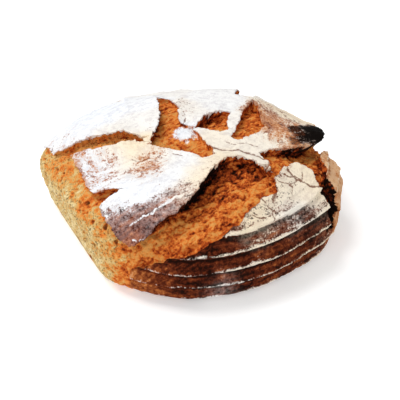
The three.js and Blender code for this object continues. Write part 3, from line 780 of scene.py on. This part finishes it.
def build_loaf():
    body = Body()
    tears = [Tear(corners) for corners in TEARS.values()]
    lattice_spots = lattice()
    spots = crowd_to_edges(lattice_spots, body, tears)
    crust = CrustMap(spots, body.at(spots, body.points), tears)
    height, slide = crust.offsets()
    moved = spots + slide
    points = body.at(moved, body.points) + body.at(moved, body.normals) * height[:, None]
    foot = ring_loop(MAP_RINGS)
    points[:, 2] = np.maximum(points[:, 2], 0.3)
    points[foot, 2] = 0
    points[:, :2] -= MIDDLE

    faces = [(0, k, k % 6 + 1) for k in range(1, 7)]
    for ring in range(1, MAP_RINGS):
        faces += stitch(ring_loop(ring), ring_loop(ring + 1))
    top_faces = len(faces)
    under_points, under_faces = underside(foot, points, len(points))
    points = fit_into(np.vstack([points, under_points]), cad_box)
    faces = np.array(faces + under_faces, np.int32)

    mesh = make_mesh(points, faces)
    paint(mesh, crust, points)
    unwrap(mesh, lattice_spots, points, faces, top_faces)
    loaf = bpy.data.objects.new("emmer_loaf", mesh)
    bpy.context.scene.collection.objects.link(loaf)
    return loaf


def unwrap(mesh, spots, points, faces, top_faces):
    """The crust map becomes one big disc of the UV map, and the underside a small one beside it."""
    map_middle, map_radius = 0.435, 0.43
    under_middle, under_radius = 0.87, 0.12
    uv = np.zeros((len(points), 2))
    uv[: len(spots)] = map_middle + map_radius * spots / MAP_RADIUS
    corner = uv[faces.ravel()]
    below = points[faces[top_faces:].ravel(), :2]
    corner[top_faces * 3 :] = under_middle + under_radius * below / np.abs(below).max()
    layer = mesh.uv_layers.new(name="OFBake")
    layer.data.foreach_set("uv", corner.astype(np.float32).ravel())


def paint(mesh, crust, points):
    """Writes what the material reads: one number per vertex for each field of the map."""
    spots = crust.spots
    extra = len(points) - len(spots)
    wavy = spots + 2.2 * ragging(crust.points * 0.6)
    flour = blended(FLOUR, wavy, FLOUR_SPREAD)
    burn = np.zeros(len(spots))
    for across, along, radius, strength in BURNS:
        far = away_from(across, along, wavy) / radius
        burn = np.maximum(burn, strength * smooth_step(-far, -1.5, -0.5))
    across, along, radius, _ = FLOURED_ISLAND
    fields = {
        "tear": crust.signed,
        "lip": crust.near_lip,
        "cover": 0.5 + FLOUR_CONTRAST * (flour[:, 0] - 0.5),
        "veil": flour[:, 1],
        "cream": flour[:, 2],
        "crumb": blended(CRUMB, wavy, CRUMB_SPREAD)[:, 0],
        "bare": blended(BARE, wavy, BARE_SPREAD)[:, 0],
        "burn": burn,
        "ring": crust.ring_share,
        "ringed": crust.ringed,
        "plate_line": np.min([tapered_distance(line, crust.ragged) for line in PLATE_LINES], axis=0),
        "rubbed": np.min([tapered_distance(line, crust.ragged) for line in RUBBED], axis=0),
        "island": away_from(across, along, crust.ragged) / radius,
        "crack": crust.crack,
        "torn": crust.torn,
        "kissing": crust.kissing,
    }
    under = {
        "tear": 50, "cover": 0.25, "cream": 0.5, "ring": 0.5, "plate_line": 99, "rubbed": 99, "crack": 99,
        "island": 99, "bare": 0.5,
    }
    for name, values in fields.items():
        values = np.append(values, np.full(extra, under.get(name, 0.0)))
        write_attribute(mesh, name, "FLOAT", "value", values)
    write_attribute(mesh, "strand", "FLOAT_VECTOR", "vector", squeezed(points))
    write_attribute(mesh, "around", "FLOAT_VECTOR", "vector", streak_places(points, spots))


def write_attribute(mesh, name, kind, part, values):
    attribute = mesh.attributes.new(name, kind, "POINT")
    attribute.data.foreach_set(part, values.astype(np.float32).ravel())


def streak_places(points, spots):
    """Where each vertex is for the flour's streaks, which run round the loaf and along the front plate."""
    away = np.append(np.hypot(*spots.T), np.zeros(len(points) - len(spots)))
    bearing = np.arctan2(points[:, 1], points[:, 0])
    around = np.stack([away, RING_STREAK * np.cos(bearing), RING_STREAK * np.sin(bearing)], axis=1)
    across, along, radius = UNRINGED
    on_plate = np.flatnonzero(away_from(across, along, spots) < PLATE_STREAK_REACH * radius)
    way = math.radians(PLATE_STREAK_BEARING)
    turn = np.array([[math.cos(way), -math.sin(way)], [math.sin(way), math.cos(way)]])
    turned = spots[on_plate] @ turn
    around[on_plate] = np.stack([turned[:, 1], turned[:, 0] / PLATE_STREAK_STRETCH, 0 * turned[:, 0]], axis=1)
    return around


# ---- the material
def srgb(colour):
    """A colour as seen, 0 to 255, as linear values."""
    channels = [c / 255 for c in colour]
    linear = [c / 12.92 if c < 0.04045 else ((c + 0.055) / 1.055) ** 2.4 for c in channels]
    return (*linear, 1.0)


class Graph:
    """A short way to write a node tree."""

    def __init__(self, owner, shader="Principled BSDF"):
        owner.use_nodes = True
        self.owner = owner
        self.tree = owner.node_tree
        self.shader = self.tree.nodes[shader]

    def fill(self, node, inputs):
        """Links outputs of other nodes to the node's inputs, or writes plain values there."""
        for key, value in inputs.items():
            if isinstance(value, bpy.types.NodeSocket):
                self.tree.links.new(value, node.inputs[key])
            else:
                node.inputs[key].default_value = value
        return node

    def node(self, kind, inputs, **settings):
        node = self.tree.nodes.new(kind)
        for key, value in settings.items():
            setattr(node, key, value)
        return self.fill(node, inputs)

    def field(self, name, output="Fac"):
        return self.node("ShaderNodeAttribute", {}, attribute_name=name).outputs[output]

    def maths(self, operation, *values, clamp=False):
        inputs = dict(enumerate(values))
        return self.node("ShaderNodeMath", inputs, operation=operation, use_clamp=clamp).outputs[0]

    def chain(self, operation, values):
        result = values[0]
        for value in values[1:]:
            result = self.maths(operation, result, value)
        return result

    def total(self, *values):
        return self.chain("ADD", values)

    def product(self, *values):
        return self.chain("MULTIPLY", values)

    def less(self, value, taken):
        return self.maths("SUBTRACT", value, taken)

    def step(self, value, low, high):
        """A soft step from 0 at low to 1 at high, or the other way round where low is the greater."""
        inputs = {"Value": value, "From Min": low, "From Max": high}
        return self.node("ShaderNodeMapRange", inputs, interpolation_type="SMOOTHSTEP").outputs["Result"]

    def noise(self, size, detail, roughness, distortion=0.0, along=None):
        """Noise of the given size, on the object or along an attribute that squeezes its places."""
        if along:
            place, scale = self.field(along, "Vector"), 1 / size
        else:
            place, scale = self.node("ShaderNodeTexCoord", {}).outputs["Object"], 1 / (size * MM)
        inputs = {"Vector": place, "Scale": scale, "Detail": detail}
        inputs.update({"Roughness": roughness, "Distortion": distortion})
        return self.node("ShaderNodeTexNoise", inputs).outputs["Fac"]

    def swing(self, noise, amount):
        """A noise between 0 and 1, moved to swing about zero by the given amount."""
        return self.product(self.less(noise, 0.5), amount)

    def mix(self, share, first, second):
        node = self.node("ShaderNodeMix", {}, data_type="RGBA")
        return self.fill(node, {0: share, 6: first, 7: second}).outputs[2]

    def ramp(self, value, stops):
        node = self.node("ShaderNodeValToRGB", {"Fac": value})
        elements = node.color_ramp.elements
        while len(elements) < len(stops):
            elements.new(0.5)
        for element, (place, colour) in zip(elements, stops):
            element.position = place
            element.color = srgb(colour)
        return node.outputs["Color"]


class LoafGraph(Graph):
    """The loaf's node tree, with the fields and noises that several parts of it read."""

    def __init__(self):
        super().__init__(bpy.data.materials.new("baked_crust"))
        self.tear = self.field("tear")
        self.ring = self.field("ring")
        self.ringed = self.field("ringed")
        self.kissing = self.field("kissing")
        self.coarse = self.noise(*COARSE)
        self.medium = self.noise(*MEDIUM)
        self.fine = self.noise(*FINE)
        self.rind = self.noise(*RIND, along="around")
        self.strands = self.noise(*STRANDS, along="strand")
        self.flecks = self.noise(*FLECKS)
        # Painted shade: a band just below each ledge of the rings, where the bare crust is darkened and the
        # flour thinned.
        self.ledge_shade = self.product(self.step(self.ring, 0.28, 0.02), self.ringed)
        self.on_crust = self.step(self.tear, 0.2, 0.3)

    def grained(self, value, coarse=0, medium=0, fine=0):
        """The value with the shared noises added, each swinging about zero by the given amount."""
        for noise, amount in ((self.coarse, coarse), (self.medium, medium), (self.fine, fine)):
            if amount:
                value = self.total(value, self.swing(noise, amount))
        return value


def bare_crust(g):
    """Dark red-brown to amber, with painted shade under each ledge of the rings."""
    tone = g.grained(g.total(g.field("bare"), g.swing(g.rind, 1.3)), coarse=0.9, medium=1.1, fine=0.5)
    tone = g.less(tone, g.product(g.ledge_shade, 0.45))
    return g.ramp(g.product(tone, BARE_RAMP_SCALE), BARE_RAMP)


def flour_colour(g):
    """White to cream, and half as clean where it was smudged."""
    cream = g.field("cream")
    clean = g.mix(cream, srgb(FLOUR_WHITE), srgb(FLOUR_CREAM))
    smudged = g.mix(cream, srgb(SMUDGED_WHITE), srgb(SMUDGED_CREAM))
    smudge = g.step(g.grained(g.rind, coarse=0.6, medium=0.8, fine=0.6), 0.42, 0.72)
    return g.mix(g.product(smudge, 0.5), clean, smudged)


def flour_cover(g):
    """How much of the crust flour hides: it gathers on ledges and lines, and rubs off rims."""
    on_ledge = g.total(
        g.product(g.step(g.ring, 0.35, 0.75), 0.15),
        g.product(g.step(g.ring, 0.66, 0.85), 0.6),
    )
    gathered = g.total(
        g.field("cover"),
        g.product(on_ledge, g.step(g.ring, 1.0, 0.97), g.ringed),
        g.product(g.step(g.field("plate_line"), 1.8, 0.6), 0.75),
        g.swing(g.noise(*STREAKS, along="around"), 1.4),
    )
    worn_edge = g.product(g.step(g.tear, 1.5, 0.3), g.step(g.grained(g.coarse, fine=0.8), 0.4, 0.55))
    lost = g.total(
        # Less flour in the painted shade under each ledge, so that the dark band shows.
        g.product(g.ledge_shade, 0.3),
        g.product(g.step(g.field("rubbed"), 1.6, 0.7), 0.7),
        g.product(worn_edge, 0.6),
    )
    cover = g.less(g.grained(gathered, coarse=0.8, medium=1.1, fine=1.5), lost)
    return g.step(cover, 0.25, 0.75)


def floured_crust(g, flour):
    """The bare crust under an even veil of flour, under its grains, with cracks through them."""
    even = g.step(g.grained(g.medium, fine=0.6), 0.25, 0.7)
    veil = g.maths("MULTIPLY", g.field("veil"), even, clamp=True)
    crust = g.mix(flour_cover(g), g.mix(veil, bare_crust(g), flour), flour)
    crack = g.step(g.grained(g.field("crack"), medium=2.0, fine=1.2), 1.05, 0.3)
    return g.mix(g.product(crack, 0.85), crust, srgb(CRACK_BROWN))


def torn_crumb(g, flour):
    """Pale, orange or burnt, with bran and the floured island; painted shade under high lips and in the pits
    and pores of its relief, and painted light on its lumps.
    """
    contrast = g.less(1.35, g.product(g.kissing, 0.35))
    swings = g.grained(g.total(g.swing(g.strands, 1.0), g.swing(g.flecks, 0.7)), coarse=0.4)
    # Painted shade: the crumb darkens towards the edge under a high lip.
    high_lip = g.step(g.field("lip"), 3.5, 7.0)
    lip_shade = g.product(g.step(g.tear, -3.6, -0.3), g.total(0.05, g.product(high_lip, 0.38)))
    # The torn relief's pits come out darker and its lumps paler: painted shade and painted light.
    tone = g.total(
        g.field("crumb"), g.product(swings, contrast), g.product(g.field("torn"), -0.13), lip_shade
    )
    palest = g.product(g.less(1.0, g.kissing), PALEST_TEAR)
    crumb = g.ramp(g.maths("SMOOTH_MAX", tone, palest, 0.15), CRUMB_RAMP)
    bran = g.step(g.grained(g.noise(*BRAN), fine=0.8), 0.57, 0.72)
    bran = g.product(bran, g.step(g.field("crumb"), 0.62, 0.25), 0.85)
    crumb = g.mix(bran, crumb, srgb(BRAN_BROWN))
    # Painted shade in the deepest pits of the relief on the kissing side, its pores.
    pores = g.product(g.step(g.field("torn"), -0.6, -1.3), g.kissing, 0.75)
    crumb = g.mix(pores, crumb, srgb(PORE_SHADE))
    island = g.step(g.grained(g.field("island"), coarse=1.6, medium=1.6), 1.25, 0.75)
    return g.mix(island, crumb, flour)


def charred(g, colour):
    """The colour, with the burnt places over it: brown, then black, with grey ash."""
    burn = g.field("burn")
    char = g.product(g.grained(burn, medium=0.9, fine=0.5), g.step(burn, 0.02, 0.2))
    char = g.product(g.step(char, 0.3, 0.62), g.step(g.tear, -0.9, -0.1))
    burnt = g.mix(g.step(burn, 0.4, 0.8), srgb(CHAR_BROWN), srgb(CHAR_BLACK))
    ash = g.product(g.step(g.grained(g.medium, coarse=0.8, fine=0.8), 0.56, 0.7), g.step(burn, 0.98, 0.75))
    return g.mix(char, colour, g.mix(ash, burnt, srgb(ASH_GREY)))


def relief(g):
    """Strands and flecks of the crumb, and grains of flour, too fine for the mesh."""
    crumb = g.product(g.total(g.strands, g.product(g.flecks, 0.7)), g.less(1.0, g.on_crust))
    flour = g.product(g.total(g.medium, g.fine), 0.3)
    inputs = {"Strength": BUMP_STRENGTH, "Distance": BUMP_DEPTH * MM, "Height": g.total(crumb, flour)}
    return g.node("ShaderNodeBump", inputs).outputs["Normal"]


def crust_material():
    g = LoafGraph()
    flour = flour_colour(g)
    colour = charred(g, g.mix(g.on_crust, torn_crumb(g, flour), floured_crust(g, flour)))
    look = {"Base Color": colour, "Normal": relief(g), "Roughness": ROUGHNESS, "Specular IOR Level": SHINE}
    g.fill(g.shader, look)
    return g.owner


# ---- stage
def stage():
    bpy.ops.mesh.primitive_plane_add(size=FLOOR_SIZE, location=(0, 0, -FLOOR_DROP))
    floor = bpy.context.object
    floor.name = "floor"
    g = Graph(bpy.data.materials.new("pale_floor"))
    look = {"Base Color": (FLOOR_GREY, FLOOR_GREY, FLOOR_GREY, 1), "Roughness": ROUGHNESS}
    g.fill(g.shader, {**look, "Emission Color": WHITE, "Emission Strength": FLOOR_GLOW})
    floor.data.materials.append(g.owner)


def lights():
    for name, (place, size, power) in LIGHTS.items():
        data = bpy.data.lights.new(name, "AREA")
        data.size = size
        data.energy = power
        light = bpy.data.objects.new(name, data)
        light.location = place
        direction = Vector(LIT_SPOT) - Vector(place)
        light.rotation_euler = direction.to_track_quat("-Z", "Y").to_euler()
        bpy.context.scene.collection.objects.link(light)
    g = Graph(bpy.data.worlds.new("studio"), "Background")
    place = g.node("ShaderNodeTexCoord", {}).outputs["Generated"]
    upward = g.node("ShaderNodeSeparateXYZ", {"Vector": place}).outputs["Z"]
    band = {"Value": upward, "From Max": SKY_BAND, "To Min": SKY_AT_HORIZON, "To Max": SKY_ABOVE}
    sky = g.node("ShaderNodeMapRange", band).outputs["Result"]
    g.fill(g.shader, {"Color": WHITE, "Strength": sky})
    bpy.context.scene.world = g.owner
    bpy.context.scene.view_settings.view_transform = "Standard"


def camera():
    data = bpy.data.cameras.new("camera")
    data.lens = CAMERA_LENS
    data.clip_end = 20
    view = bpy.data.objects.new("camera", data)
    elevation = math.radians(CAMERA_ELEVATION)
    back = Vector((0, -math.cos(elevation), math.sin(elevation)))
    view.location = Vector(AIM) + CAMERA_DISTANCE * back
    view.rotation_euler = (math.pi / 2 - elevation, 0, 0)
    bpy.context.scene.collection.objects.link(view)
    bpy.context.scene.camera = view


loaf = build_loaf()
loaf.data.materials.append(crust_material())
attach(loaf, "root")
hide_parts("loaf")
stage()
lights()
camera()
